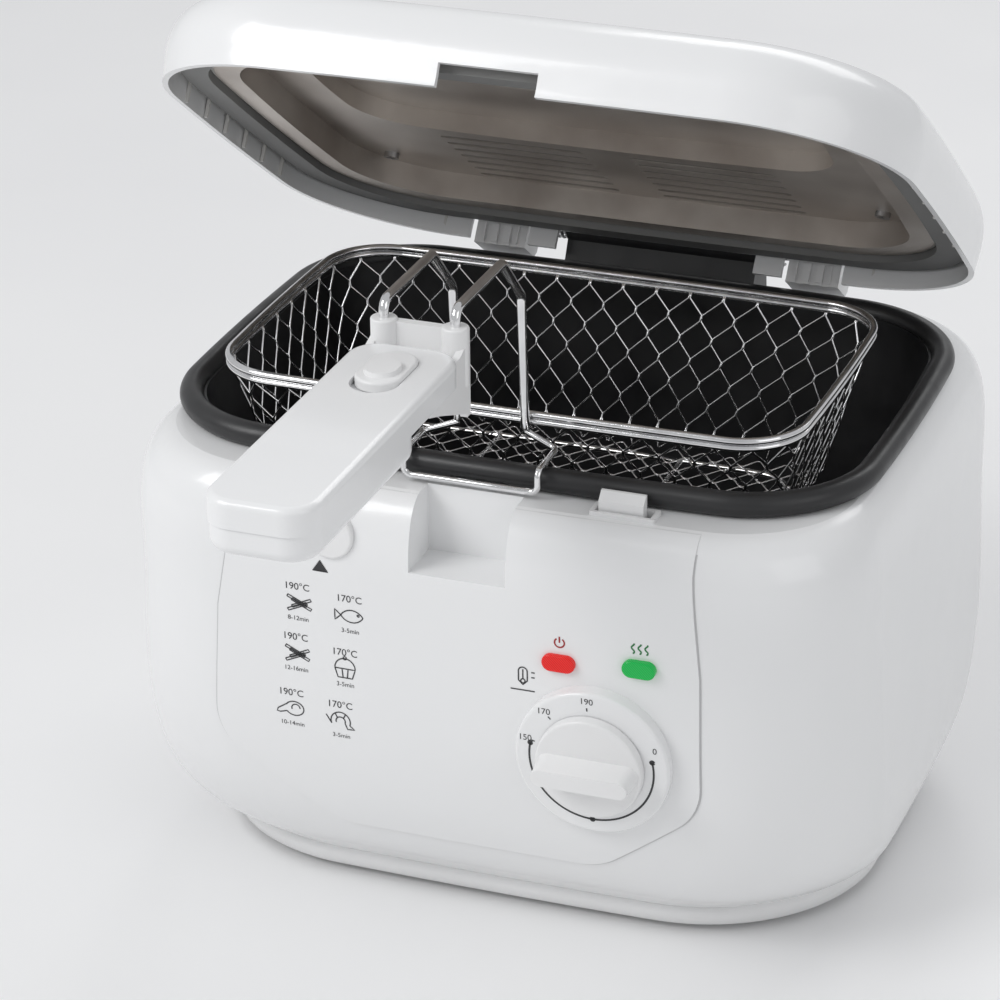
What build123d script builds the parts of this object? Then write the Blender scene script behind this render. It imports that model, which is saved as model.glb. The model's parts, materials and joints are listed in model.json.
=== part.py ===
"""Domestic deep fryer: lid open, basket hung on the pot's front rim to drain, handle folded out.

Millimetres. +Z up, +X to the user's right, front face towards -Y.
Origin: centre of the pot's rim in plan, on the worktop.
"""
from build123d import *
import math
import os

os.makedirs("parts", exist_ok=True)

# ---- driving dimensions -------------------------------------------------------------
WALL = 2.6                # housing wall
SEAM_Z = 14.0             # joint between base plate and housing
DECK_Z = 212.5            # flat shoulder that carries the pot rim
RIM_Z = 218.0             # centre of the pot's rolled rim
RIM_R = 5.5               # radius of the rolled rim
RIM_HX = 158.5            # half width of the pot rim, tube centre
RIM_FRONT = -118.0
RIM_BACK = 111.5
POT_BOTTOM = 84.0

HINGE_Y = 137.0           # lid hinge axis
HINGE_Z = 230.0
LID_OPEN = 35.0           # degrees above closed, at rest
LID_SKIRT = -14.5         # lid's lower edge below the hinge axis when shut

BASKET_X = -4.0           # basket hangs slightly left of centre
BASKET_RIM_Z = 238.0
BASKET_FRONT = -98.0
BASKET_BACK = 67.0
BASKET_HX = 134.5
BASKET_FLOOR_Z = 164.0
HANDLE_X = -2.0
SOCKET_Y = -183.0         # handle bracket sockets
PIVOT_Y = -219.0          # grip fold pivot
PIVOT_Z = 294.0

DIAL_X = 62.0
DIAL_Z = 105.0
DIAL_TILT = 4.0           # the panel leans back below the shoulder
BUTTON_X = -58.0
BUTTON_Z = 193.0
LATCH_X = 68.0

# Housing outline: height, half width, front, back, corner radius.
HOUSING = [
    (14.0, 159.0, -113.0, 118.0, 85.0),
    (26.0, 168.0, -126.0, 127.5, 80.0),
    (45.0, 174.0, -138.0, 137.5, 73.0),
    (75.0, 175.5, -146.5, 145.0, 67.0),
    (120.0, 174.0, -150.0, 148.5, 63.0),
    (165.0, 172.5, -150.5, 149.0, 61.0),
    (195.0, 170.5, -149.5, 147.0, 60.0),
    (206.0, 166.0, -145.0, 143.0, 58.0),
    (212.5, 158.0, -136.0, 135.0, 54.0),
]
# Lid outline in the lid's own frame: height over the hinge, half width, front, back, radius.
LID = [
    (-14.5, 170.5, -294.0, -14.0, 72.0),
    (-2.0, 171.5, -295.0, -13.5, 72.0),
    (10.0, 170.5, -293.5, -15.0, 71.0),
    (19.0, 166.0, -287.0, -21.0, 67.0),
    (25.5, 150.0, -268.0, -40.0, 58.0),
    (29.0, 124.0, -238.0, -66.0, 44.0),
]


def outline(hx, front, back, radius, sag=4.0):
    """Rounded rectangle whose four sides bow outwards by `sag`."""
    mid = (front + back) / 2
    with BuildSketch() as sk:
        with BuildLine():
            ThreePointArc((-hx + sag, front + sag), (0, front), (hx - sag, front + sag))
            ThreePointArc((hx - sag, front + sag), (hx, mid), (hx - sag, back - sag))
            ThreePointArc((hx - sag, back - sag), (0, back), (-hx + sag, back - sag))
            ThreePointArc((-hx + sag, back - sag), (-hx, mid), (-hx + sag, front + sag))
        make_face()
        fillet(sk.vertices(), radius)
    return sk.sketch


def stack(sections, inset=0.0, low=0.0, high=0.0, base=Plane.XY):
    """Skin a list of (height, half width, front, back, radius) outlines into one solid."""
    with BuildPart() as skin:
        for i, (z, hx, front, back, radius) in enumerate(sections):
            dz = low if i == 0 else high if i == len(sections) - 1 else 0.0
            with BuildSketch(base.offset(z + dz)):
                add(outline(hx - inset, front + inset, back - inset, radius - inset))
        loft()
    return skin.part


def rod(points, radius, bend, close=False):
    """Round wire bent through `points`."""
    with BuildPart() as wire:
        with BuildLine() as path:
            FilletPolyline(*points, radius=bend, close=close)
        start = path.line @ 0
        with BuildSketch(Plane(origin=start, z_dir=path.line % 0)):
            Circle(radius)
        sweep(path=path.line)
    return wire.part


def ring_wire(hx, front, back, corner, z, radius, x=0.0, sag=2.0):
    """Closed round wire following an outline at height z."""
    with BuildPart() as wire:
        flat = outline(hx, front, back, corner, sag).moved(Location((x, 0, z)))
        path = flat.faces()[0].outer_wire()
        with BuildSketch(Plane(origin=path @ 0, z_dir=path % 0)):
            Circle(radius)
        sweep(path=path)
    return wire.part


def save(piece, name):
    piece.part.label = name
    export_step(piece.part, f"parts/{name}.step")


body_solid = stack(HOUSING)
panel_solid = stack(HOUSING, inset=-0.9)
front = Plane.XZ  # sketches for the front face; its normal points towards the user
tilt = math.radians(DIAL_TILT)
dial = Plane(origin=(DIAL_X, -150.2, DIAL_Z), x_dir=(1, 0, 0),
             z_dir=(0, -math.cos(tilt), -math.sin(tilt)))
swing = math.radians(LID_OPEN)
lid = Plane(origin=(0, HINGE_Y, HINGE_Z), x_dir=(1, 0, 0),
            z_dir=(0, math.sin(swing), math.cos(swing)))

# ---- housing ------------------------------------------------------------------------
with BuildPart() as cavity:
    add(stack(HOUSING, WALL, low=-2.0, high=-WALL))
    # pocket for the handle bracket keeps its own walls
    with BuildSketch(Plane.XY.offset(178.4)):
        with Locations((0, -140)):
            Rectangle(49.2, 31.2)
    extrude(amount=40, mode=Mode.SUBTRACT)

with BuildPart() as housing:
    add(body_solid)
    add(cavity.part, mode=Mode.SUBTRACT)
    # opening for the pot
    with BuildSketch(Plane.XY.offset(200)):
        add(outline(154.6, -114.1, 107.6, 52.0))
    extrude(amount=30, mode=Mode.SUBTRACT)
    # bracket pocket, open to the front and the top
    with BuildSketch(Plane.XY.offset(181)):
        with Locations((0, -146)):
            Rectangle(44, 38)
    extrude(amount=40, mode=Mode.SUBTRACT)
    # lid-release button, dial shaft and two lamp windows
    with BuildSketch(front.offset(120)):
        with Locations((BUTTON_X, BUTTON_Z)):
            Circle(11.0)
        with Locations((46.0, 149.0), (82.0, 152.0)):
            SlotOverall(15.0, 8.0)
    extrude(amount=40, mode=Mode.SUBTRACT)
    # slot for the latch lug in the shoulder
    with BuildSketch(Plane.XY.offset(200)):
        with Locations((LATCH_X, -129.2)):
            Rectangle(25.0, 7.2)
    extrude(amount=20, mode=Mode.SUBTRACT)
    with BuildSketch(dial.offset(-12)):
        Circle(5.0)
    extrude(amount=24, mode=Mode.SUBTRACT)
    # cord entry in the back wall
    with BuildSketch(front.offset(-145)):
        with Locations((-88, 42)):
            Circle(7.0)
    extrude(amount=25, mode=Mode.SUBTRACT)
save(housing, "housing")

# Raised control panel, wider towards the foot, lying on the front wall.
with BuildPart() as front_panel:
    add(panel_solid)
    with BuildSketch(front.offset(95)) as face:
        with BuildLine():
            Polyline((-104, 212), (-104, 197), (-113, 150), (-117, 84), (-60, 44), (60, 44),
                     (109, 84), (108, 150), (104, 197), (104, 212), close=True)
        make_face()
        low = face.vertices().filter_by(lambda v: v.Y < 100)
        fillet(low, 28)
    extrude(amount=80, mode=Mode.INTERSECT)
    add(body_solid, mode=Mode.SUBTRACT)
    with BuildSketch(front.offset(120)):
        with Locations((0, 200.5)):
            Rectangle(44, 39)
        with Locations((BUTTON_X, BUTTON_Z)):
            Circle(11.0)
        with Locations((46.0, 149.0), (82.0, 152.0)):
            SlotOverall(15.0, 8.0)
    extrude(amount=40, mode=Mode.SUBTRACT)
    with BuildSketch(dial.offset(-12)):
        Circle(5.0)
    extrude(amount=24, mode=Mode.SUBTRACT)
save(front_panel, "front_panel")

# ---- base ---------------------------------------------------------------------------
LEG_SPOTS = [(-85, -55), (85, -55), (85, 55), (-85, 55)]
FOOT_SPOTS = [(-104, -70), (104, -70), (104, 76), (-104, 76)]

with BuildPart() as base_plate:
    add(stack([(4.0, 157.5, -111.0, 116.5, 83.0), (12.6, 159.0, -113.0, 118.0, 85.0),
               (14.0, 158.5, -112.0, 117.0, 84.0)]))
    with BuildSketch(Plane.XY.offset(6.5)):
        add(outline(153.5, -108.0, 113.0, 80.0))
    extrude(amount=8, mode=Mode.SUBTRACT)
    with BuildSketch(Plane.XY.offset(6.5)):
        with Locations(*LEG_SPOTS):
            Circle(5.5)
    extrude(amount=7.5)
    with BuildSketch(Plane.XY.offset(3)):
        with Locations(*LEG_SPOTS):
            Circle(1.6)
        with GridLocations(70, 12, 2, 5):
            SlotOverall(56, 4)
    extrude(amount=12, mode=Mode.SUBTRACT)
    with BuildSketch(Plane.XY.offset(3)):
        with Locations(*LEG_SPOTS):
            Circle(3.8)
    extrude(amount=3.2, mode=Mode.SUBTRACT)
save(base_plate, "base_plate")

for i, (x, y) in enumerate(FOOT_SPOTS, start=1):
    with BuildPart(Plane.XY) as foot:
        with BuildSketch():
            with Locations((x, y)):
                Circle(9.0)
        extrude(amount=4.0)
        fillet(foot.edges().sort_by(Axis.Z)[0], 1.2)
    save(foot, f"rubber_foot_{i}")

for i, (x, y) in enumerate(LEG_SPOTS, start=1):
    with BuildPart() as screw:
        with BuildSketch(Plane.XY.offset(4.0)):
            with Locations((x, y)):
                Circle(3.3)
        extrude(amount=2.2)
        with BuildSketch(Plane.XY.offset(6.2)):
            with Locations((x, y)):
                Circle(1.5)
        extrude(amount=14)
        with BuildSketch(Plane.XY.offset(4.0)):
            with Locations((x, y)):
                Rectangle(4.6, 0.9)
                Rectangle(0.9, 4.6)
        extrude(amount=1.2, mode=Mode.SUBTRACT)
    save(screw, f"base_screw_{i}")

# ---- pot and heater -----------------------------------------------------------------
with BuildPart() as pot_cavity:
    with BuildSketch(Plane.XY.offset(POT_BOTTOM + 2.0)):
        add(outline(136.2, -97.2, 90.7, 38.2))
    with BuildSketch(Plane.XY.offset(RIM_Z)):
        add(outline(152.2, -111.7, 105.2, 49.8))
    loft()
    fillet(pot_cavity.edges().group_by(Axis.Z)[0], 10.5)
    with BuildSketch(Plane.XY.offset(RIM_Z)):
        add(outline(152.2, -111.7, 105.2, 49.8))
    extrude(amount=2)

with BuildPart() as pot:
    with BuildSketch(Plane.XY.offset(POT_BOTTOM)):
        add(outline(138.0, -99.0, 92.5, 40.0))
    with BuildSketch(Plane.XY.offset(RIM_Z)):
        add(outline(154.2, -113.7, 107.2, 51.8))
    loft()
    fillet(pot.edges().group_by(Axis.Z)[0], 12)
    add(pot_cavity.part, mode=Mode.SUBTRACT)
    add(ring_wire(RIM_HX, RIM_FRONT, RIM_BACK, 56.0, RIM_Z, RIM_R, sag=4.0))
save(pot, "pot")

with BuildPart() as heating_element:
    z = POT_BOTTOM - 3.3
    add(rod([(26, 45, 66), (26, 45, z), (-70, 45, z), (-88, 28, z), (-88, -42, z), (-70, -60, z),
             (70, -60, z), (88, -42, z), (88, 28, z), (70, 45, z), (50, 45, z), (50, 45, 66)], 3.3, 5.0))
save(heating_element, "heating_element")

with BuildPart() as heat_shield:
    with BuildSketch(Plane.XY.offset(56)):
        add(outline(118.0, -82.0, 78.0, 45.0))
    extrude(amount=14)
    with BuildSketch(Plane.XY.offset(57.2)):
        add(outline(116.8, -80.8, 76.8, 43.8))
    extrude(amount=14, mode=Mode.SUBTRACT)
    with BuildSketch(Plane.XY.offset(14)):
        with Locations(*LEG_SPOTS):
            Circle(4.5)
    extrude(amount=42)
    with BuildSketch(Plane.XY.offset(14)):
        with Locations(*LEG_SPOTS):
            Circle(1.5)
    extrude(amount=7, mode=Mode.SUBTRACT)
save(heat_shield, "heat_shield")

with BuildPart() as thermal_cutout:
    with BuildSketch(Plane.XY.offset(POT_BOTTOM)):
        Circle(8.5)
    extrude(amount=-3)
    with BuildSketch(Plane.XY.offset(POT_BOTTOM - 3)):
        Circle(6.5)
    extrude(amount=-8)
save(thermal_cutout, "thermal_cutout")

with BuildPart() as terminal_block:
    with BuildSketch(Plane.XY.offset(6.5)):
        with Locations((-88, 80)):
            Rectangle(42, 16)
    extrude(amount=16)
    with BuildSketch(Plane.XY.offset(22.5)):
        with Locations((-101, 80), (-88, 80), (-75, 80)):
            Circle(3.4)
    extrude(amount=-5, mode=Mode.SUBTRACT)
save(terminal_block, "terminal_block")

with BuildPart() as cord_gland:
    with BuildSketch(front.offset(-122)):
        with Locations((-88, 42)):
            Circle(10.5)
    extrude(amount=-15)
    add(body_solid, mode=Mode.SUBTRACT)
    with BuildSketch(front.offset(-122)):
        with Locations((-88, 42)):
            Circle(7.0)
    extrude(amount=-15)
    with BuildSketch(front.offset(-118)):
        with Locations((-88, 42)):
            Circle(3.5)
    extrude(amount=-25, mode=Mode.SUBTRACT)
save(cord_gland, "cord_gland")

# ---- controls on the front panel ----------------------------------------------------
with BuildPart() as thermostat_body:
    with BuildSketch(dial.offset(-30)):
        RectangleRounded(34, 34, 3)
    extrude(amount=21)
    with BuildSketch(dial.offset(-9)):
        Circle(5.0)
    extrude(amount=11)
    with BuildSketch(dial.offset(-22)):
        Circle(3.05)
    extrude(amount=30, mode=Mode.SUBTRACT)
save(thermostat_body, "thermostat_body")

with BuildPart() as dial_bezel:
    with BuildSketch(dial.offset(-6)):
        Circle(35.0)
    extrude(amount=10.5)
    fillet(dial_bezel.faces().sort_by(Axis.Y)[0].outer_wire().edges(), 1.6)
    add(panel_solid, mode=Mode.SUBTRACT)
    with BuildSketch(dial.offset(-8)):
        Circle(5.6)
    extrude(amount=20, mode=Mode.SUBTRACT)
save(dial_bezel, "dial_bezel")

with BuildPart() as thermostat_knob:
    with BuildSketch(dial.offset(5.0)):
        Circle(24.0)
    extrude(amount=5.0)
    fillet(thermostat_knob.faces().sort_by(Axis.Y)[0].outer_wire().edges(), 1.2)
    with BuildSketch(dial.offset(10.0)):
        SlotOverall(46, 11)
    extrude(amount=12, taper=7)
    with BuildSketch(dial.offset(5.0)):
        Circle(3.0)
    extrude(amount=-23)
save(thermostat_knob, "thermostat_knob")

for name, x, z in (("red_lens", 46.0, 149.0), ("green_lens", 82.0, 152.0)):
    with BuildPart() as lens:
        with BuildSketch(front.offset(142)):
            with Locations((x, z)):
                SlotOverall(15.0, 8.0)
        extrude(amount=11.0)
        fillet(lens.faces().sort_by(Axis.Y)[0].outer_wire().edges(), 1.0)
    save(lens, name)

with BuildPart() as lamp_holder:
    with BuildSketch(front.offset(132)):
        with Locations((64.0, 150.5)):
            RectangleRounded(58, 20, 2)
    extrude(amount=10)
save(lamp_holder, "lamp_holder")

with BuildPart() as lid_button:
    with BuildSketch(front.offset(140)):
        with Locations((BUTTON_X, BUTTON_Z)):
            Circle(10.92)
    extrude(amount=13.0)
    fillet(lid_button.faces().sort_by(Axis.Y)[0].outer_wire().edges(), 1.4)
    with BuildSketch(front.offset(140)):
        with Locations((BUTTON_X, BUTTON_Z)):
            Circle(12.3)
    extrude(amount=2.0)
    with BuildSketch(front.offset(135.2)):
        with Locations((BUTTON_X, BUTTON_Z)):
            Circle(6.0)
    extrude(amount=6)
save(lid_button, "lid_button")

with BuildPart() as latch_frame:
    with BuildSketch(Plane.XY.offset(DECK_Z)):
        with Locations((LATCH_X, -129.0)):
            RectangleRounded(29.0, 10.6, 1.0)
    extrude(amount=1.8)
    with BuildSketch(Plane.XY.offset(DECK_Z - 1)):
        with Locations((LATCH_X, -129.2)):
            Rectangle(25.0, 7.2)
    extrude(amount=6, mode=Mode.SUBTRACT)
save(latch_frame, "latch_frame")

with BuildPart() as latch_slider:
    with BuildSketch(front.offset(126.7)):
        with Locations((3.5, 170)):
            Rectangle(147, 8)
        with Locations((LATCH_X - 1, 194)):
            Rectangle(20, 56)
        with Locations((-59, 184)):
            Rectangle(10, 24)
    extrude(amount=5)
    top = latch_slider.faces().sort_by(Axis.Z)[-1].edges().sort_by(Axis.Y)
    chamfer(top[0], 3.6)
save(latch_slider, "latch_slider")

# ---- rear hinge ---------------------------------------------------------------------
side = Plane.YZ  # local x is the object's Y, local y is height

with BuildPart() as hinge_block:
    with BuildSketch(side.offset(-48)):
        with BuildLine():
            Polyline((122, 208), (122, 215), (130, 231), (144, 231), (146.5, 208), close=True)
        make_face()
        with Locations((HINGE_Y, HINGE_Z)):
            Circle(9.0)
    extrude(amount=96)
    add(body_solid, mode=Mode.SUBTRACT)
    with BuildSketch(side.offset(-50)):
        with Locations((HINGE_Y, HINGE_Z)):
            Circle(2.5)
    extrude(amount=100, mode=Mode.SUBTRACT)
save(hinge_block, "hinge_block")

with BuildPart() as hinge_pin:
    with BuildSketch(side.offset(-97)):
        with Locations((HINGE_Y, HINGE_Z)):
            Circle(2.5)
    extrude(amount=194)
save(hinge_pin, "hinge_pin")

for name, start in (("hinge_spring_left", -60.5), ("hinge_spring_right", 48.9)):
    with BuildPart() as coil:
        with BuildLine() as turns:
            Helix(pitch=2.4, height=10.8, radius=4.6, center=(start, HINGE_Y, HINGE_Z), direction=(1, 0, 0))
        with BuildSketch(Plane(origin=turns.line @ 0, z_dir=turns.line % 0)):
            Circle(0.8)
        sweep(path=turns.line, is_frenet=True)
    save(coil, name)

# ---- lid ----------------------------------------------------------------------------
lid_solid = stack(LID, base=lid)
drops = (2.0, 0.0, 0.0, 1.0, 2.2, 2.4)
lid_inner = stack([(h - drop, *rest) for (h, *rest), drop in zip(LID, drops)], 2.4, base=lid)

with BuildPart() as lid_shell:
    add(lid_solid)
    add(lid_inner, mode=Mode.SUBTRACT)
    # notch for the basket handle in the front skirt
    with BuildSketch(lid.offset(-20)):
        with Locations((0, -292)):
            Rectangle(44, 20)
    extrude(amount=15.5, mode=Mode.SUBTRACT)
    # clearance for the hinge lugs in the back skirt
    with BuildSketch(lid.offset(-20)):
        with Locations((-79, -14), (79, -14)):
            Rectangle(30, 14)
    extrude(amount=16, mode=Mode.SUBTRACT)
    # the hinge barrel shows through the gap between the lugs
    with BuildSketch(lid.offset(-20)):
        with Locations((0, -14)):
            Rectangle(100, 14)
    extrude(amount=15, mode=Mode.SUBTRACT)
    # steam outlet
    with BuildSketch(lid.offset(20)):
        with Locations((0, -100)):
            with GridLocations(62, 9, 2, 5):
                SlotOverall(52, 3.2)
    extrude(amount=14, mode=Mode.SUBTRACT)
save(lid_shell, "lid_shell")

with BuildPart() as lid_frame:
    with BuildSketch(lid.offset(-2.5)):
        add(outline(180, -300, 0, 72))
    extrude(amount=2.5)
    add(lid_inner, mode=Mode.INTERSECT)
    with BuildSketch(lid.offset(-4)):
        add(outline(141.4, -263.4, -44.6, 45))
    extrude(amount=8, mode=Mode.SUBTRACT)
save(lid_frame, "lid_frame")

with BuildPart() as lid_liner:
    with BuildSketch(lid.offset(-3.3)):
        add(outline(151, -274, -34, 54))
    extrude(amount=0.8)
    with BuildSketch(lid.offset(-3.3)):
        add(outline(141, -263, -45, 45))
    extrude(amount=13.3)
    with BuildSketch(lid.offset(9.2)):
        add(outline(116.8, -246.8, -125.2, 30.8))
    extrude(amount=9.8)
    with BuildSketch(lid.offset(-3.3)):
        add(outline(140.2, -262.2, -45.8, 44.2))
    extrude(amount=12.5, mode=Mode.SUBTRACT)
    with BuildSketch(lid.offset(9.0)):
        add(outline(116, -246, -126, 30))
    extrude(amount=9.2, mode=Mode.SUBTRACT)
    with BuildSketch(lid.offset(8)):
        for group in (-47, 45):
            with Locations((group, -84)):
                with GridLocations(1, 10.5, 1, 7):
                    SlotOverall(70, 3.6)
    extrude(amount=4, mode=Mode.SUBTRACT)
save(lid_liner, "lid_liner")

with BuildPart() as lid_seal:
    with BuildSketch(lid.offset(-6.4)):
        add(outline(164.5, -285.5, -20.5, 62))
        add(outline(152.5, -275.5, -32.5, 55), mode=Mode.SUBTRACT)
    extrude(amount=3.9)
save(lid_seal, "lid_seal")

with BuildPart() as steam_filter:
    with BuildSketch(lid.offset(10.0)):
        with Locations((0, -84)):
            RectangleRounded(172, 74, 6)
    extrude(amount=7)
save(steam_filter, "steam_filter")

for name, x in (("liner_screw_left", -121), ("liner_screw_right", 121)):
    with BuildPart() as screw:
        with BuildSketch(lid.offset(6.7)):
            with Locations((x, -72)):
                Circle(3.6)
        extrude(amount=2.5)
        with BuildSketch(lid.offset(6.7)):
            with Locations((x, -72)):
                Rectangle(4.8, 0.9)
                Rectangle(0.9, 4.8)
        extrude(amount=1.0, mode=Mode.SUBTRACT)
    save(screw, name)

lid_side = Plane(origin=lid.origin, x_dir=lid.y_dir, z_dir=(1, 0, 0))
for name, start in (("hinge_lug_left", -92), ("hinge_lug_right", 66)):
    with BuildPart() as lug:
        with BuildSketch(lid_side.offset(start)):
            with BuildLine():
                Polyline((-15.2, -16), (-15.2, -4.4), (-10, 6), (0, 7.5), (6, 0), (5, -13), (2, -16), close=True)
            make_face()
            Circle(7.5)
        extrude(amount=26)
        add(lid_solid, mode=Mode.SUBTRACT)
        with BuildSketch(lid_side.offset(start + 4)):
            with Locations((-14.2, -10.4)):
                Rectangle(4, 9)
        extrude(amount=18)
        for flute in (5, 11.5, 18):
            with BuildSketch(lid_side.offset(start + flute)):
                with Locations((-15.6, -10.5)):
                    Rectangle(2.4, 12)
            extrude(amount=3.2, mode=Mode.SUBTRACT)
        with BuildSketch(lid_side.offset(start - 2)):
            Circle(2.55)
        extrude(amount=30, mode=Mode.SUBTRACT)
    save(lug, name)

with BuildPart() as latch_keeper:
    with BuildSketch(lid.offset(-13)):
        with Locations((LATCH_X, -288)):
            Rectangle(26, 4)
    extrude(amount=9)
    with BuildSketch(lid.offset(-11)):
        with Locations((LATCH_X, -288)):
            Rectangle(21, 8)
    extrude(amount=4, mode=Mode.SUBTRACT)
save(latch_keeper, "latch_keeper")

# ---- basket -------------------------------------------------------------------------
mid_y = (BASKET_FRONT + BASKET_BACK) / 2

with BuildPart() as basket_rim:
    add(ring_wire(BASKET_HX, BASKET_FRONT, BASKET_BACK, 29, BASKET_RIM_Z, 1.7, BASKET_X))
save(basket_rim, "basket_rim")

with BuildPart() as basket_band:
    add(ring_wire(BASKET_HX, BASKET_FRONT, BASKET_BACK, 29, BASKET_RIM_Z - 3.2, 1.5, BASKET_X))
save(basket_band, "basket_band")

mesh_top = (BASKET_RIM_Z - 3.2, BASKET_HX - 1.5, BASKET_FRONT + 1.5, BASKET_BACK - 1.5, 27.5)
mesh_low = (BASKET_FLOOR_Z, BASKET_HX - 21.0, BASKET_FRONT + 20.0, BASKET_BACK - 20.0, 22.0)
over = Plane.XY.move(Location((BASKET_X, 0, 0)))
with BuildPart() as basket_cavity:
    add(stack([mesh_low, mesh_top], 1.0, low=1.0, high=1.0, base=over))
    fillet(basket_cavity.edges().group_by(Axis.Z)[0], 6)

with BuildPart() as basket_mesh:
    add(stack([mesh_low, mesh_top], base=over))
    fillet(basket_mesh.edges().group_by(Axis.Z)[0], 7)
    add(basket_cavity.part, mode=Mode.SUBTRACT)
save(basket_mesh, "basket_mesh")

with BuildPart() as basket_floor_frame:
    floor_z = BASKET_FLOOR_Z - 1.5
    add(ring_wire(BASKET_HX - 33, BASKET_FRONT + 32, BASKET_BACK - 32, 18, floor_z, 1.5, BASKET_X))
    for x in (-45, 45):
        with BuildSketch(front.offset(-(BASKET_BACK - 31))):
            with Locations((BASKET_X + x, floor_z)):
                Circle(1.3)
        extrude(amount=BASKET_BACK - BASKET_FRONT - 62)
save(basket_floor_frame, "basket_floor_frame")

wire_z = BASKET_RIM_Z + 81
for name, x in (("handle_wire_left", HANDLE_X - 15.5), ("handle_wire_right", HANDLE_X + 15.5)):
    with BuildPart() as handle_wire:
        add(rod([(x, BASKET_FRONT - 3.6, BASKET_RIM_Z - 5), (x, BASKET_FRONT - 8, BASKET_RIM_Z + 58),
                 (x, BASKET_FRONT - 31, wire_z), (x, SOCKET_Y, wire_z), (x, SOCKET_Y, 277)], 2.1, 5.0))
    save(handle_wire, name)

with BuildPart() as drain_hook:
    pts = [(-15.5, -100.6, 231.0), (-15.5, -101.6, 229.0), (-30.5, -104, 226.0), (-30.5, -128.2, 226.0),
           (-30.5, -128.2, 216.0)]
    left = [(HANDLE_X + x, y, z) for x, y, z in pts]
    right = [(HANDLE_X - x, y, z) for x, y, z in reversed(pts)]
    add(rod([left[0], *left[2:], *right[:-2], right[-1]], 1.5, 3.5))
save(drain_hook, "drain_hook")

# ---- folding handle -----------------------------------------------------------------
WING = [(-180, 273), (-180, 306), (-192, 302), (-219, 300.4), (-225.5, 298), (-226, 290), (-214, 286)]

with BuildPart() as handle_bracket:
    with BuildSketch(front.offset(180)):
        with Locations((HANDLE_X, 292)):
            Rectangle(41, 38)
    extrude(amount=4)
    with BuildSketch(Plane.XY.offset(287)):
        with Locations((HANDLE_X - 15.5, SOCKET_Y), (HANDLE_X + 15.5, SOCKET_Y)):
            Circle(5.6)
    extrude(amount=25)
    fillet(handle_bracket.faces().sort_by(Axis.Z)[-2:].edges(), 0.8)
    for start in (-20.5, 17.5):
        with BuildSketch(side.offset(HANDLE_X + start)):
            with BuildLine():
                Polyline(*WING, close=True)
            make_face()
        extrude(amount=3)
    with BuildSketch(Plane.XY.offset(270)):
        with Locations((HANDLE_X - 15.5, SOCKET_Y), (HANDLE_X + 15.5, SOCKET_Y)):
            Circle(2.1)
    extrude(amount=60, mode=Mode.SUBTRACT)
    with BuildSketch(side.offset(HANDLE_X - 30)):
        with Locations((PIVOT_Y, PIVOT_Z)):
            Circle(2.0)
    extrude(amount=60, mode=Mode.SUBTRACT)
save(handle_bracket, "handle_bracket")

with BuildPart() as handle_pin:
    with BuildSketch(side.offset(HANDLE_X - 20.5)):
        with Locations((PIVOT_Y, PIVOT_Z)):
            Circle(2.0)
    extrude(amount=41)
save(handle_pin, "handle_pin")

GRIP_TOP = 305.0
GRIP_TIP = -352.0
SPLIT = 293.5
grip_plane = Plane.XY.move(Location((HANDLE_X, 0, 0)))

with BuildPart() as grip_top:
    with BuildSketch(grip_plane.offset(SPLIT)):
        with Locations((0, -271.8)):
            RectangleRounded(46, 160.6, 13)
    extrude(amount=GRIP_TOP - SPLIT)
    fillet(grip_top.faces().sort_by(Axis.Z)[-1].edges(), 3.0)
    # hollow above the bracket wings
    with BuildSketch(grip_plane.offset(SPLIT)):
        with Locations((0, -208.5)):
            Rectangle(41.6, 42)
    extrude(amount=8.6, mode=Mode.SUBTRACT)
    # lug between the wings
    with BuildSketch(side.offset(HANDLE_X - 14)):
        with BuildLine():
            Polyline((-238, 302.5), (-211, 302.5), (PIVOT_Y + 6, PIVOT_Z), (PIVOT_Y + 4, PIVOT_Z - 5),
                     (PIVOT_Y - 4, PIVOT_Z - 6), (-238, SPLIT), close=True)
        make_face()
    extrude(amount=28)
    with BuildSketch(side.offset(HANDLE_X - 20)):
        with Locations((PIVOT_Y, PIVOT_Z)):
            Circle(2.06)
    extrude(amount=40, mode=Mode.SUBTRACT)
    # window for the release button
    with BuildSketch(grip_plane.offset(GRIP_TOP - 3)):
        with Locations((0, -222)):
            SlotOverall(40, 20.4, rotation=90)
    extrude(amount=10, mode=Mode.SUBTRACT)
save(grip_top, "grip_top")

with BuildPart() as grip_bottom:
    with BuildSketch(grip_plane.offset(SPLIT)):
        with Locations((0, -295.5)):
            RectangleRounded(45, 112, 12.8)
    extrude(amount=-12)
    fillet(grip_bottom.faces().sort_by(Axis.Z)[0].edges(), 5.0)
    with BuildSketch(grip_plane.offset(SPLIT)):
        with Locations((0, -300)):
            RectangleRounded(38, 90, 9)
    extrude(amount=-8, mode=Mode.SUBTRACT)
    with BuildSketch(grip_plane.offset(SPLIT)):
        with Locations((0, -270), (0, -330)):
            Circle(4.5)
    extrude(amount=-9)
    with BuildSketch(grip_plane.offset(SPLIT)):
        with Locations((0, -270), (0, -330)):
            Circle(1.5)
    extrude(amount=-13, mode=Mode.SUBTRACT)
    with BuildSketch(grip_plane.offset(SPLIT - 12)):
        with Locations((0, -270), (0, -330)):
            Circle(3.0)
    extrude(amount=2.4, mode=Mode.SUBTRACT)
save(grip_bottom, "grip_bottom")

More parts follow.
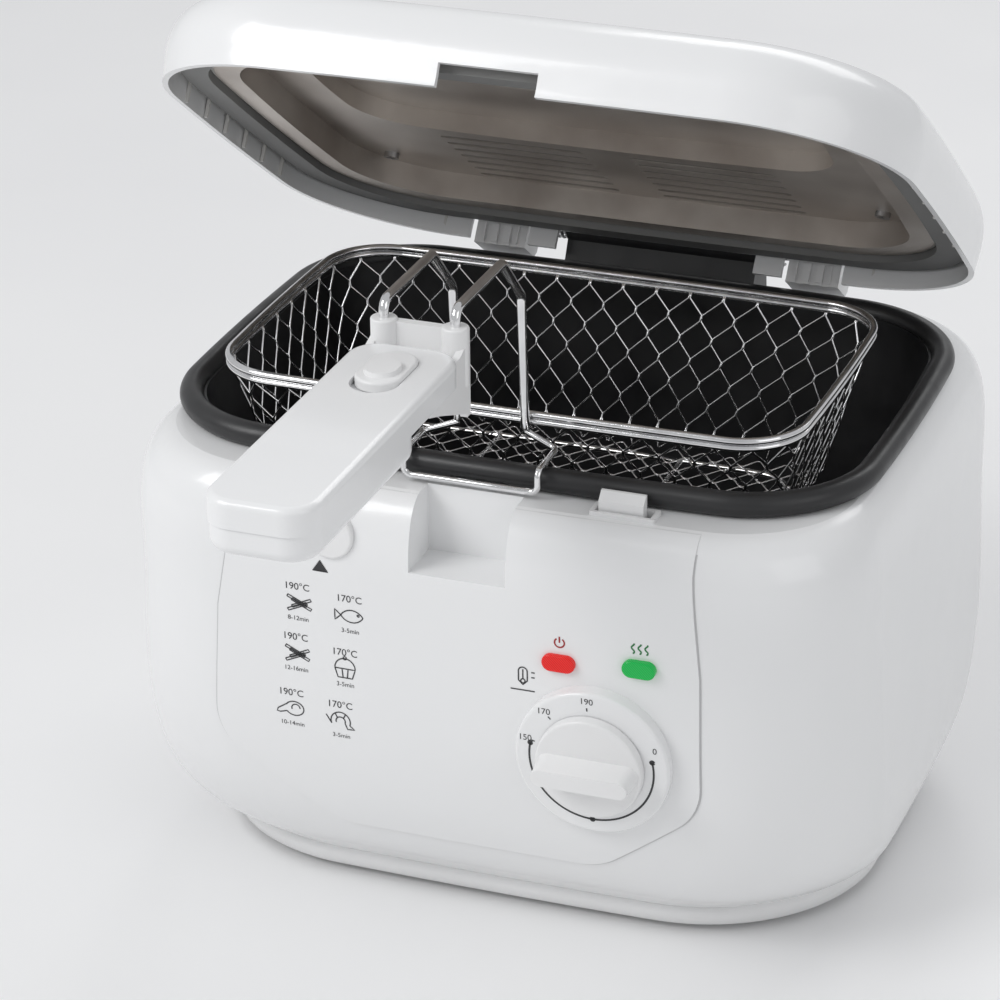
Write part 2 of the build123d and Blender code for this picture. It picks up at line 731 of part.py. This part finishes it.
for i, y in enumerate((-270, -330), start=1):
    with BuildPart() as screw:
        with BuildSketch(grip_plane.offset(SPLIT - 9.6)):
            with Locations((0, y)):
                Circle(2.8)
        extrude(amount=-2.0)
        with BuildSketch(grip_plane.offset(SPLIT - 9.6)):
            with Locations((0, y)):
                Circle(1.5)
        extrude(amount=9.6)
        with BuildSketch(grip_plane.offset(SPLIT - 11.6)):
            with Locations((0, y)):
                Rectangle(4.0, 0.8)
                Rectangle(0.8, 4.0)
        extrude(amount=1.0, mode=Mode.SUBTRACT)
    save(screw, f"grip_screw_{i}")

# Slides towards the tip to unlock the fold; a raised lip gives the thumb purchase.
with BuildPart() as release_button:
    with BuildSketch(grip_plane.offset(302.6)):
        with Locations((0, -219.4)):
            SlotOverall(34, 20, rotation=90)
    extrude(amount=4.2)
    fillet(release_button.faces().sort_by(Axis.Z)[-1].edges(), 1.2)
    with BuildSketch(grip_plane.offset(306)):
        with Locations((0, -223)):
            SlotOverall(18, 15, rotation=90)
    extrude(amount=2.6, taper=18)
save(release_button, "release_button")
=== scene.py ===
"""Looks for the deep fryer: materials, wire mesh, printed marks, lamps, floor, light and camera."""
import bpy
import json
import math
from mathutils import Matrix, Vector
from mathutils.bvhtree import BVHTree


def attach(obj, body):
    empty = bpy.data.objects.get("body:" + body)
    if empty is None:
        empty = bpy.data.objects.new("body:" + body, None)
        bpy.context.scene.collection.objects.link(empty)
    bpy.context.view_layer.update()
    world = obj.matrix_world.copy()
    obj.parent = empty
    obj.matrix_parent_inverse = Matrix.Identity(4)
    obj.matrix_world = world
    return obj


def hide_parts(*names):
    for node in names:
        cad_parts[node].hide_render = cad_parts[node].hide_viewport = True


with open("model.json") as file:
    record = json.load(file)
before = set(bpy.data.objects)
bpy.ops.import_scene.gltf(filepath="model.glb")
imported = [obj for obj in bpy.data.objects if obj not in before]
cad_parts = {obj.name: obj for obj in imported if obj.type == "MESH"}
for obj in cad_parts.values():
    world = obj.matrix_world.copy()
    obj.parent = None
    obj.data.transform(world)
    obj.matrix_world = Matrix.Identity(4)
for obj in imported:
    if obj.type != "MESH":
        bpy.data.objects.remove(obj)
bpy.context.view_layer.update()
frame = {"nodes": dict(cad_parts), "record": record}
nodes = frame["nodes"]


# ---- materials ----------------------------------------------------------------------
def material(name):
    mat = bpy.data.materials.new(name)
    mat.use_nodes = True
    tree = mat.node_tree
    return mat, tree, tree.nodes["Principled BSDF"]


def put(tree, kind, **values):
    node = tree.nodes.new(kind)
    for key, value in values.items():
        if key in node.inputs:
            node.inputs[key].default_value = value
        else:
            setattr(node, key, value)
    return node


def coords(tree):
    return put(tree, "ShaderNodeTexCoord").outputs["Object"]


def ramp(tree, source, low, high, a, b):
    node = put(tree, "ShaderNodeMapRange")
    node.inputs["From Min"].default_value = a
    node.inputs["From Max"].default_value = b
    node.inputs["To Min"].default_value = low
    node.inputs["To Max"].default_value = high
    tree.links.new(source, node.inputs["Value"])
    return node.outputs["Result"]


def tint(tree, factor, dark, light):
    node = put(tree, "ShaderNodeMix", data_type="RGBA")
    tree.links.new(factor, node.inputs["Factor"])
    node.inputs[6].default_value = (*dark, 1)
    node.inputs[7].default_value = (*light, 1)
    return node.outputs[2]


def noise_map(tree, scale, detail=4.0, stretch=None):
    node = put(tree, "ShaderNodeTexNoise", Scale=scale, Detail=detail)
    source = coords(tree)
    if stretch:
        mapping = put(tree, "ShaderNodeMapping")
        mapping.inputs["Scale"].default_value = stretch
        tree.links.new(source, mapping.inputs["Vector"])
        source = mapping.outputs["Vector"]
    tree.links.new(source, node.inputs["Vector"])
    return node.outputs["Fac"]


def bump(tree, shader, height, strength, distance=0.0002):
    node = put(tree, "ShaderNodeBump", Strength=strength, Distance=distance)
    tree.links.new(height, node.inputs["Height"])
    tree.links.new(node.outputs["Normal"], shader.inputs["Normal"])


def surface(name, dark, light, rough=(0.3, 0.4), metal=0.0, patch=9.0, grain=900.0, grain_bump=0.05,
            coat=0.0, stretch=None):
    """Mottled colour, smudged roughness and a fine surface grain."""
    mat, tree, shader = material(name)
    smudge = noise_map(tree, patch)
    fine = noise_map(tree, grain, 2.0, stretch)
    tree.links.new(tint(tree, ramp(tree, smudge, 0, 1, 0.3, 0.7), dark, light), shader.inputs["Base Color"])
    tree.links.new(ramp(tree, noise_map(tree, patch * 4), rough[0], rough[1], 0.3, 0.7),
                   shader.inputs["Roughness"])
    shader.inputs["Metallic"].default_value = metal
    shader.inputs["Coat Weight"].default_value = coat
    bump(tree, shader, fine, grain_bump)
    return mat


WHITE = surface("gloss_white", (0.835, 0.84, 0.845), (0.85, 0.853, 0.856), (0.23, 0.255), coat=0.25,
                grain=350.0, grain_bump=0.03)
INNER = surface("satin_white", (0.60, 0.59, 0.565), (0.69, 0.68, 0.655), (0.38, 0.50), grain_bump=0.06)
BUTTON = surface("button_white", (0.79, 0.79, 0.79), (0.85, 0.85, 0.85), (0.28, 0.36), grain_bump=0.05)
BLACK = surface("black_plastic", (0.008, 0.008, 0.009), (0.02, 0.02, 0.021), (0.38, 0.52), grain_bump=0.15)
NONSTICK = surface("nonstick", (0.012, 0.012, 0.013), (0.026, 0.026, 0.027), (0.30, 0.44), patch=22.0,
                   grain=1400.0, grain_bump=0.22)
LINER = surface("liner_metal", (0.44, 0.39, 0.35), (0.62, 0.57, 0.52), (0.30, 0.42), metal=0.55, patch=26.0,
                grain=2200.0, grain_bump=0.35)
CHROME = surface("chrome", (0.70, 0.70, 0.71), (0.88, 0.88, 0.88), (0.05, 0.16), metal=1.0, patch=60.0,
                 grain_bump=0.04)
STEEL = surface("zinc_steel", (0.36, 0.36, 0.37), (0.52, 0.52, 0.52), (0.28, 0.42), metal=1.0, patch=50.0,
                grain_bump=0.12)
SEAL = surface("seal_rubber", (0.16, 0.16, 0.158), (0.22, 0.22, 0.216), (0.55, 0.68), grain_bump=0.15)
RUBBER = surface("foot_rubber", (0.10, 0.10, 0.10), (0.17, 0.17, 0.17), (0.65, 0.8), grain_bump=0.2)
FELT = surface("filter_felt", (0.020, 0.019, 0.017), (0.045, 0.043, 0.04), (0.85, 0.95), grain=500.0,
               grain_bump=0.8)
# painted shade: flat grey for the line round the front panel, standing in for the shade in the gap at its
# raised edge
PANEL_GAP_PAINTED_SHADE = surface("seam_shadow", (0.52, 0.52, 0.525), (0.60, 0.60, 0.605), (0.5, 0.6))
INK = surface("print_ink", (0.025, 0.025, 0.027), (0.045, 0.045, 0.048), (0.45, 0.6))


def glow(name, deep, bright, strength):
    """Ribbed lens, lit from behind and brightest in the middle of each rib."""
    mat, tree, shader = material(name)
    wave = put(tree, "ShaderNodeTexWave", Scale=520.0, Distortion=0.4)
    wave.bands_direction = "DIAGONAL"
    tree.links.new(coords(tree), wave.inputs["Vector"])
    colour = tint(tree, wave.outputs["Fac"], deep, bright)
    tree.links.new(colour, shader.inputs["Base Color"])
    tree.links.new(colour, shader.inputs["Emission Color"])
    shader.inputs["Emission Strength"].default_value = strength
    shader.inputs["Roughness"].default_value = 0.18
    bump(tree, shader, wave.outputs["Fac"], 0.15, 0.0002)
    return mat


RED = glow("red_lens_lit", (0.50, 0.003, 0.002), (0.78, 0.010, 0.006), 0.22)
GREEN = glow("green_lens_lit", (0.0, 0.26, 0.04), (0.0, 0.50, 0.08), 0.22)

BY_SLOT = {
    "white_shell": WHITE, "white_inner": INNER, "white_button": BUTTON, "black_plastic": BLACK,
    "nonstick": NONSTICK, "liner_metal": LINER, "chrome_wire": CHROME, "steel": STEEL,
    "seal_rubber": SEAL, "foot_rubber": RUBBER, "lens_red": RED, "lens_green": GREEN, "filter_felt": FELT,
}
for part in frame["record"]["subparts"]:
    nodes[part["node"]].data.materials.clear()
    nodes[part["node"]].data.materials.append(BY_SLOT[part["material_slot"]])
for name in ("handle_bracket", "latch_frame", "latch_slider", "base_plate", "hinge_lug_left",
             "hinge_lug_right"):
    nodes[name].data.materials.clear()
    nodes[name].data.materials.append(BUTTON)


# ---- mesh helpers -------------------------------------------------------------------
def mesh_object(name, verts, faces, mat, body, smooth=True):
    data = bpy.data.meshes.new(name)
    data.from_pydata([tuple(v) for v in verts], [], faces)
    data.validate()
    if smooth:
        data.polygons.foreach_set("use_smooth", [True] * len(data.polygons))
    obj = bpy.data.objects.new(name, data)
    bpy.context.scene.collection.objects.link(obj)
    data.materials.append(mat)
    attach(obj, body)
    return obj


def tube(verts, faces, path, radius, sides=8):
    """Adds a round tube along `path` to the vertex and face lists."""
    count = len(path)
    start = len(verts)
    normal = None
    for i, point in enumerate(path):
        ahead = path[min(i + 1, count - 1)]
        behind = path[max(i - 1, 0)]
        direction = (ahead - behind).normalized()
        if normal is None:
            helper = Vector((0, 0, 1)) if abs(direction.z) < 0.9 else Vector((1, 0, 0))
            normal = direction.cross(helper).normalized()
        normal = (normal - direction * normal.dot(direction)).normalized()
        other = direction.cross(normal)
        for k in range(sides):
            a = 2 * math.pi * k / sides
            verts.append(point + (normal * math.cos(a) + other * math.sin(a)) * radius)
    for i in range(count - 1):
        a = start + i * sides
        b = a + sides
        for k in range(sides):
            n = (k + 1) % sides
            faces.append((a + k, a + n, b + n, b + k))
    faces.append(tuple(start + k for k in reversed(range(sides))))
    faces.append(tuple(start + (count - 1) * sides + k for k in range(sides)))


# ---- woven basket -------------------------------------------------------------------
BX, BY = -0.004, -0.0155
WIRE_RADIUS = 0.0005
TOP_Z, FLOOR_Z = 0.2352, 0.1645


def rounded(hx, hy, r, steps=8):
    """Points round a rounded rectangle, anticlockwise, on its four corner arcs."""
    pts = []
    for sx, sy, a0 in ((1, -1, -90), (1, 1, 0), (-1, 1, 90), (-1, -1, 180)):
        for k in range(steps + 1):
            a = math.radians(a0 + 90 * k / steps)
            pts.append(Vector((sx * (hx - r) + r * math.cos(a), sy * (hy - r) + r * math.sin(a))))
    return pts


def at_length(pts, fraction):
    """Point at a fraction of the closed outline's length."""
    total = sum((pts[(i + 1) % len(pts)] - p).length for i, p in enumerate(pts))
    goal = (fraction % 1.0) * total
    for i, p in enumerate(pts):
        step = pts[(i + 1) % len(pts)] - p
        if goal <= step.length:
            return p + step * (goal / max(step.length, 1e-9))
        goal -= step.length
    return pts[0]


TOP = rounded(0.1330, 0.0810, 0.0275)
LOW = rounded(0.1135, 0.0625, 0.022)


def wall(u, v):
    """Point on the basket wall: u round it, v from 0 at the rim to 1 at the floor."""
    a = at_length(TOP, u)
    b = at_length(LOW, u)
    p = a.lerp(b, v)
    inward = 0.006 * max(0.0, (v - 0.9) / 0.1) ** 2
    q = Vector((p.x, p.y)).normalized()
    return Vector((BX + p.x - q.x * inward, BY + p.y - q.y * inward, TOP_Z + (FLOOR_Z - TOP_Z) * v))


COLUMNS, ROWS = 98, 7
PITCH = 1.0 / COLUMNS
verts, faces = [], []
for column in range(COLUMNS):
    path = []
    for row in range(ROWS):
        lean = 0.46 * PITCH * (1 if (column + row) % 2 else -1)
        path.append(wall(column * PITCH + lean, row / ROWS))
        path.append(wall(column * PITCH + lean, (row + 0.3) / ROWS))
    path.append(wall(column * PITCH - lean, 1.0))
    tube(verts, faces, path, WIRE_RADIUS, 5)
wall_net = mesh_object("basket_net_wall", verts, faces, CHROME, "basket")

FLOOR_HX, FLOOR_HY = 0.1085, 0.0575
verts, faces = [], []
LINES, CELLS = 16, 32
for line in range(LINES):
    path = []
    for cell in range(CELLS + 1):
        lean = 0.46 * (1 if (line + cell) % 2 else -1)
        y = ((line + 0.5 + lean) / LINES * 2 - 1) * FLOOR_HY
        for part in (0.0, 0.3):
            x = ((cell + part) / (CELLS + 0.3) * 2 - 1) * FLOOR_HX
            drop = 0.0004 if abs(y) < FLOOR_HY * 0.9 else 0.0
            path.append(Vector((BX + x, BY + y, FLOOR_Z - drop)))
    tube(verts, faces, path, WIRE_RADIUS, 5)
mesh_object("basket_net_floor", verts, faces, CHROME, "basket")
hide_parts("basket_mesh")


# ---- marks printed on the front panel ----------------------------------------------
def skin_of(node):
    """Search tree of a CAD node's surface, for laying marks on it."""
    data = nodes[node].data
    return BVHTree.FromPolygons([v.co for v in data.vertices], [p.vertices[:] for p in data.polygons])


PANEL = skin_of("front_panel")
HOUSING = skin_of("housing")
PANEL_FALLBACK_Y = -0.148  # used where a mark runs past the panel's own edge


def on_panel(x, z, lift=0.00012):
    """Point of the front panel at x, z in millimetres."""
    hit = PANEL.ray_cast(Vector((x / 1000, -0.4, z / 1000)), Vector((0, 1, 0)))
    y = hit[0].y if hit[0] else PANEL_FALLBACK_Y
    return Vector((x / 1000, y - lift, z / 1000))


def on_housing(x, z, lift=0.00008):
    """Point of the housing's front wall at x, z in millimetres."""
    hit = HOUSING.ray_cast(Vector((x / 1000, -0.4, z / 1000)), Vector((0, 1, 0)))
    return Vector((x / 1000, hit[0].y - lift, z / 1000))


DIAL_ARC = 28.2  # radius of the printed travel line, in millimetres
DIAL_TILT = math.radians(4.0)
DIAL = Vector((0.062, -0.1502, 0.105))
DIAL_OUT = Vector((0, -math.cos(DIAL_TILT), -math.sin(DIAL_TILT)))
DIAL_UP = Vector((0, -math.sin(DIAL_TILT), math.cos(DIAL_TILT)))


def on_dial(x, z, lift=0.0):
    """Point of the dial ring's face, x and z in millimetres from its centre."""
    return DIAL + DIAL_OUT * (0.0046 + lift) + Vector((x / 1000, 0, 0)) + DIAL_UP * (z / 1000)


def ribbon(verts, faces, points, width, place):
    """Flat printed line through 2-D points, laid on a surface by `place`."""
    dense = []
    for a, b in zip(points, points[1:]):
        steps = max(1, int(math.dist(a, b) / 1.2))
        dense += [(a[0] + (b[0] - a[0]) * k / steps, a[1] + (b[1] - a[1]) * k / steps) for k in range(steps)]
    dense.append(points[-1])
    start = len(verts)
    for i, (x, z) in enumerate(dense):
        ax, az = dense[max(i - 1, 0)]
        bx, bz = dense[min(i + 1, len(dense) - 1)]
        length = math.hypot(bx - ax, bz - az) or 1.0
        nx, nz = -(bz - az) / length * width / 2, (bx - ax) / length * width / 2
        verts.append(place(x + nx, z + nz))
        verts.append(place(x - nx, z - nz))
    for i in range(len(dense) - 1):
        k = start + i * 2
        faces.append((k, k + 1, k + 3, k + 2))


def arc(cx, cz, r, a, b, steps=20, squash=1.0):
    return [(cx + r * math.cos(math.radians(a + (b - a) * k / steps)),
             cz + r * squash * math.sin(math.radians(a + (b - a) * k / steps))) for k in range(steps + 1)]


def filleted(points, radii):
    """Polyline through `points` with a tangent arc of the given radius at each inner point."""
    path = [points[0]]
    for before, corner, after, radius in zip(points, points[1:], points[2:], radii):
        corner = Vector(corner)
        a = (Vector(before) - corner).normalized()
        b = (Vector(after) - corner).normalized()
        half = a.angle(b) / 2
        centre = corner + (a + b).normalized() * radius / math.sin(half)
        start = corner + a * radius / math.tan(half) - centre
        end = corner + b * radius / math.tan(half) - centre
        sweep = start.angle_signed(end)
        for k in range(11):
            turn = Matrix.Rotation(-sweep * k / 10, 2)
            path.append(tuple(centre + turn @ start))
    path.append(points[-1])
    return path


def lettering(name, text, x, z, height, place, mat, body="base"):
    """Printed numerals centred on x, z, draped on a surface."""
    curve = bpy.data.curves.new(name + "_curve", "FONT")
    curve.body = text
    curve.size = height * 1.38
    curve.align_x = "CENTER"
    curve.align_y = "CENTER"
    temp = bpy.data.objects.new(name + "_temp", curve)
    bpy.context.scene.collection.objects.link(temp)
    bpy.context.view_layer.update()
    flat = bpy.data.meshes.new_from_object(temp)
    pts = [place(x + v.co.x, z + v.co.y) for v in flat.vertices]
    polys = [p.vertices[:] for p in flat.polygons]
    bpy.data.objects.remove(temp)
    return mesh_object(name, pts, polys, mat, body, smooth=False)


def icon_fish(cx, cz):
    return [arc(cx + 1, cz - 3, 6, 30, 150), arc(cx + 1, cz + 3, 6, -30, -150),
            [(cx - 4.2, cz), (cx - 7, cz + 2.6), (cx - 7, cz - 2.6), (cx - 4.2, cz)],
            arc(cx + 4, cz + 0.8, 0.5, 0, 360, 8)]


def icon_sticks(cx, cz):
    lines = []
    for dx, dz, lean in ((-5, -3, 1), (-3, -1.2, 1), (-5, 3, -1), (-3, 1.4, -1)):
        lines.append([(cx + dx, cz + dz), (cx + dx + 9, cz + dz + 4.2 * lean),
                      (cx + dx + 9.6, cz + dz + 3.2 * lean), (cx + dx + 0.6, cz + dz - 1.0 * lean),
                      (cx + dx, cz + dz)])
    return lines


def icon_bun(cx, cz):
    return [arc(cx, cz + 0.6, 4.8, 0, 180), [(cx - 4.8, cz + 0.4), (cx - 3.4, cz - 4), (cx + 3.4, cz - 4),
            (cx + 4.8, cz + 0.4), (cx - 4.8, cz + 0.4)], [(cx - 1.4, cz), (cx - 1, cz - 4)],
            [(cx + 1.4, cz), (cx + 1, cz - 4)], arc(cx, cz + 5.6, 0.8, 0, 360, 8)]


def icon_drumstick(cx, cz):
    return [arc(cx + 1.4, cz + 0.4, 4.4, -150, 150, squash=0.8),
            [(cx - 2.4, cz + 2.2), (cx - 6.6, cz - 0.6), (cx - 7.2, cz - 2.2), (cx - 5.6, cz - 2.4),
             (cx - 2.4, cz - 1.4)],
            arc(cx + 2, cz + 0.6, 2, 0, 200)]


def icon_prawn(cx, cz):
    return [arc(cx, cz, 4.6, 200, -20), arc(cx, cz, 2.2, 200, -20),
            [(cx + 4.3, cz - 1.6), (cx + 6.6, cz - 3.4), (cx + 3.2, cz - 3.6), (cx + 2.1, cz - 0.8)],
            [(cx - 4.3, cz - 1.6), (cx - 6.8, cz + 2.6)], [(cx - 1.4, cz + 1.7), (cx - 2.6, cz + 4)],
            [(cx + 1.4, cz + 1.7), (cx + 2.6, cz + 4)]]


# x, z, sign, oil temperature, time
COOKING = [
    (-74.5, 157.0, icon_sticks, "190\u00b0C", "8-12min"),
    (-50.0, 155.0, icon_fish, "170\u00b0C", "3-5min"),
    (-76.3, 132.0, icon_sticks, "190\u00b0C", "12-16min"),
    (-53.0, 128.3, icon_bun, "170\u00b0C", "3-5min"),
    (-79.3, 104.0, icon_drumstick, "190\u00b0C", "10-14min"),
    (-56.0, 102.0, icon_prawn, "170\u00b0C", "3-5min"),
]
verts, faces = [], []
for i, (x, z, draw, heat, minutes) in enumerate(COOKING):
    for line in draw(x, z):
        ribbon(verts, faces, line, 0.55, on_panel)
    lettering(f"heat_mark_{i}", heat, x, z + 8.2, 3.4, on_panel, INK)
    lettering(f"minutes_mark_{i}", minutes, x, z - 7.4, 2.2, on_panel, INK)
ribbon(verts, faces, [(-66.5, 175), (-59.5, 175)], 0.5, on_panel)
for k in range(9):
    half = 3.6 * (1 - k / 9)
    ribbon(verts, faces, [(-63 - half, 175 + k * 0.6), (-63 + half, 175 + k * 0.6)], 0.7, on_panel)
for line in ([(27.6, 142), (27.6, 137.6), (29.6, 135.6), (31.6, 137.6), (31.6, 142)],
             arc(29.6, 142, 2, 0, 180),
             [(29.6, 143), (29.6, 138.4)], arc(29.6, 137.4, 1, 0, 360, 10), [(33.4, 142), (35, 142)],
             [(33.4, 139.6), (35, 139.6)], [(24, 133), (35, 133)]):
    ribbon(verts, faces, line, 0.6, on_panel)
mesh_object("panel_print", verts, faces, INK, "base", smooth=False)

# painted shade: a grey line laid on the housing round the raised panel, standing in for the shade in the gap
# at its edge
edge = [(-104.4, 206), (-104.4, 197), (-113.4, 150), (-117.4, 84), (-60.2, 43.6), (60.2, 43.6),
        (109.4, 83.8), (108.4, 150), (104.4, 197), (104.4, 206)]
verts, faces = [], []
ribbon(verts, faces, filleted(edge, (4, 4, 28, 28, 28, 28, 4, 4)), 0.8, on_housing)
mesh_object("panel_gap_painted_shade", verts, faces, PANEL_GAP_PAINTED_SHADE, "base", smooth=False)

RED_INK = surface("red_ink", (0.30, 0.01, 0.01), (0.38, 0.02, 0.02), (0.45, 0.6))
GREEN_INK = surface("green_ink", (0.01, 0.16, 0.04), (0.02, 0.22, 0.06), (0.45, 0.6))
for name, mat, x, z in (("power_symbol", RED_INK, 46.3, 158.6), ("heating_symbol", GREEN_INK, 82.0, 158.8)):
    verts, faces = [], []
    if name == "power_symbol":
        ribbon(verts, faces, arc(x, z, 2.2, 125, 415), 0.7, on_panel)
        ribbon(verts, faces, [(x, z + 3), (x, z)], 0.7, on_panel)
    else:
        for dx in (-3, 0, 3):
            wave = [(x + dx + 0.7 * math.sin(k), z + k * 0.62) for k in range(9)]
            ribbon(verts, faces, wave, 0.7, on_panel)
    mesh_object(name, verts, faces, mat, "base", smooth=False)

verts, faces = [], []
ribbon(verts, faces, arc(0, 0, DIAL_ARC, 12, -192, 48), 0.9, on_dial)
for angle in (12, -90, -192):
    a = math.radians(angle)
    dot = arc(DIAL_ARC * math.cos(a), DIAL_ARC * math.sin(a), 0.7, 0, 360, 10)
    ribbon(verts, faces, dot, 1.3, on_dial)
for angle in (165, 133, 93):
    a = math.radians(angle)
    ribbon(verts, faces, [(26.4 * math.cos(a), 26.4 * math.sin(a)), (28.0 * math.cos(a), 28.0 * math.sin(a))],
           0.6, on_dial)
mesh_object("dial_print", verts, faces, INK, "base", smooth=False)
for text, angle in (("150", 165), ("170", 133), ("190", 93), ("0", 22)):
    a = math.radians(angle)
    lettering(f"dial_mark_{text}", text, 31.0 * math.cos(a), 31.0 * math.sin(a), 3.0, on_dial, INK)


# ---- moulded ribs inside the lid skirt ----------------------------------------------
SWING = math.radians(35.0)
LID = Matrix.Translation((0, 0.137, 0.230)) @ Matrix.Rotation(-SWING, 4, "X")


def lid_point(x, y, h):
    """Lid coordinates in millimetres to the row frame."""
    return LID @ Vector((x / 1000, y / 1000, h / 1000))


def block(verts, faces, place, x0, x1, y0, y1, z0, z1):
    k = len(verts)
    for z in (z0, z1):
        for x, y in ((x0, y0), (x1, y0), (x1, y1), (x0, y1)):
            verts.append(place(x, y, z))
    for quad in ((0, 3, 2, 1), (4, 5, 6, 7), (0, 1, 5, 4), (1, 2, 6, 5), (2, 3, 7, 6), (3, 0, 4, 7)):
        faces.append(tuple(k + q for q in quad))


verts, faces = [], []
for y in range(-214, -80, 24):
    for x in (-167.4, 165.8):
        block(verts, faces, lid_point, x, x + 1.6, y, y + 1.4, -13.5, -2.6)
for x in list(range(-120, -96, 12)) + list(range(108, 126, 12)):
    block(verts, faces, lid_point, x, x + 1.2, -19.0, -17.2, -13.5, -2.6)
mesh_object("skirt_ribs", verts, faces, INNER, "lid", smooth=False)

# ---- floor, light and camera --------------------------------------------------------
floor_mat = surface("worktop", (0.86, 0.86, 0.865), (0.90, 0.90, 0.90), (0.28, 0.36), patch=2.0, grain=120.0)
data = bpy.data.meshes.new("worktop")
data.from_pydata([(-6, -6, 0), (6, -6, 0), (6, 6, 0), (-6, 6, 0)], [], [(0, 1, 2, 3)])
data.materials.append(floor_mat)
worktop = bpy.data.objects.new("worktop", data)
bpy.context.scene.collection.objects.link(worktop)

world = bpy.data.worlds.new("studio")
bpy.context.scene.world = world
world.use_nodes = True
world.node_tree.nodes["Background"].inputs["Color"].default_value = (0.97, 0.98, 1.0, 1)
world.node_tree.nodes["Background"].inputs["Strength"].default_value = 0.56


def lamp(name, place, aim, size, power):
    light = bpy.data.lights.new(name, "AREA")
    light.shape = "RECTANGLE"
    light.size, light.size_y = size
    light.energy = power
    obj = bpy.data.objects.new(name, light)
    obj.location = place
    obj.rotation_euler = (Vector(aim) - Vector(place)).to_track_quat("-Z", "Y").to_euler()
    bpy.context.scene.collection.objects.link(obj)


lamp("key", (-1.2, -1.3, 1.6), (0, 0, 0.15), (1.2, 1.0), 21)
lamp("fill", (1.6, -0.9, 1.0), (0, 0, 0.15), (1.2, 1.2), 4)
lamp("back", (0.2, 1.6, 1.5), (0, 0, 0.2), (1.6, 0.8), 9)

cam = bpy.data.cameras.new("view")
cam.sensor_width = 36
cam.lens = 135.9
cam.shift_x = -0.0739
cam.shift_y = -0.0013
camera = bpy.data.objects.new("view", cam)
camera.location = (0.5226, -1.4937, 0.8942)
camera.rotation_euler = (Vector((0, 0, 0.1522)) - camera.location).to_track_quat("-Z", "Y").to_euler()
bpy.context.scene.collection.objects.link(camera)
bpy.context.scene.camera = camera
bpy.context.scene.view_settings.view_transform = "Standard"
